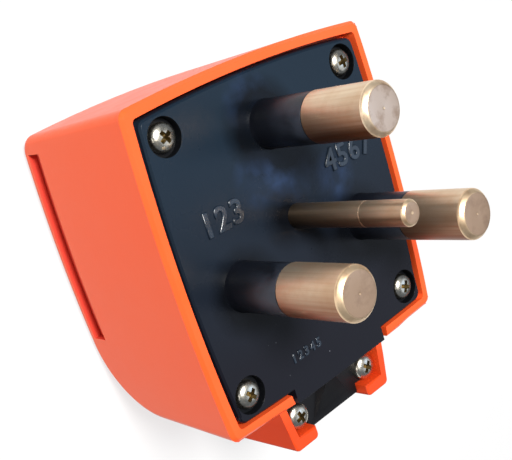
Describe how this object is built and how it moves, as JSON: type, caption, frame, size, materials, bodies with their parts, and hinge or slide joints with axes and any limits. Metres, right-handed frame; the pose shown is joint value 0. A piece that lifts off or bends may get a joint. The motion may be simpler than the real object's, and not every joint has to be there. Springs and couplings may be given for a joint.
{
  "type": "industrial plug",
  "caption": "Side entry industrial plug: orange cup housing, dark face plate, thick brass pins with black sleeves, a thin centre pin, pan head screws and a cable neck with a clamp.",
  "frame": {"origin": "the point of the flat back face that lies under the centre pin", "axes": "+Z along the pins, away from the back; +Y from the centre pin to the top pin, away from the cable neck; +X to the right seen from the pin side"},
  "size_m": [0.0664, 0.08, 0.0705],
  "materials": {
    "orange_plastic": "satin gloss moulding",
    "plate_plastic": "glossy, navy black",
    "clamp_plastic": "satin black",
    "sleeve_plastic": "glossy black",
    "pin_brass": "turned, slightly tarnished",
    "insert_brass": "plain",
    "screw_metal": "nickel plated",
    "terminal_metal": "zinc plated"
  },
  "bodies": {
    "root": {"cable_clamp": "clamp_plastic", "centre_nut": "terminal_metal", "centre_pin": "pin_brass", "centre_washer": "terminal_metal", "centre_wire_nut": "terminal_metal", "clamp_insert_left": "insert_brass", "clamp_insert_right": "insert_brass", "clamp_screw_left": "screw_metal", "clamp_screw_right": "screw_metal", "face_plate": "plate_plastic", "housing": "orange_plastic", "phase_pin_left": "pin_brass", "phase_pin_right": "pin_brass", "phase_pin_top": "pin_brass", "pin_nut_left": "terminal_metal", "pin_nut_right": "terminal_metal", "pin_nut_top": "terminal_metal", "pin_sleeve_left": "sleeve_plastic", "pin_sleeve_right": "sleeve_plastic", "pin_sleeve_top": "sleeve_plastic", "pin_washer_left": "terminal_metal", "pin_washer_right": "terminal_metal", "pin_washer_top": "terminal_metal", "plate_insert_bottom_left": "insert_brass", "plate_insert_bottom_right": "insert_brass", "plate_insert_top_left": "insert_brass", "plate_insert_top_right": "insert_brass", "plate_screw_bottom_left": "screw_metal", "plate_screw_bottom_right": "screw_metal", "plate_screw_top_left": "screw_metal", "plate_screw_top_right": "screw_metal", "terminal_screw_left": "terminal_metal", "terminal_screw_right": "terminal_metal", "terminal_screw_top": "terminal_metal", "terminal_washer_left": "terminal_metal", "terminal_washer_right": "terminal_metal", "terminal_washer_top": "terminal_metal"}
  },
  "joints": []
}
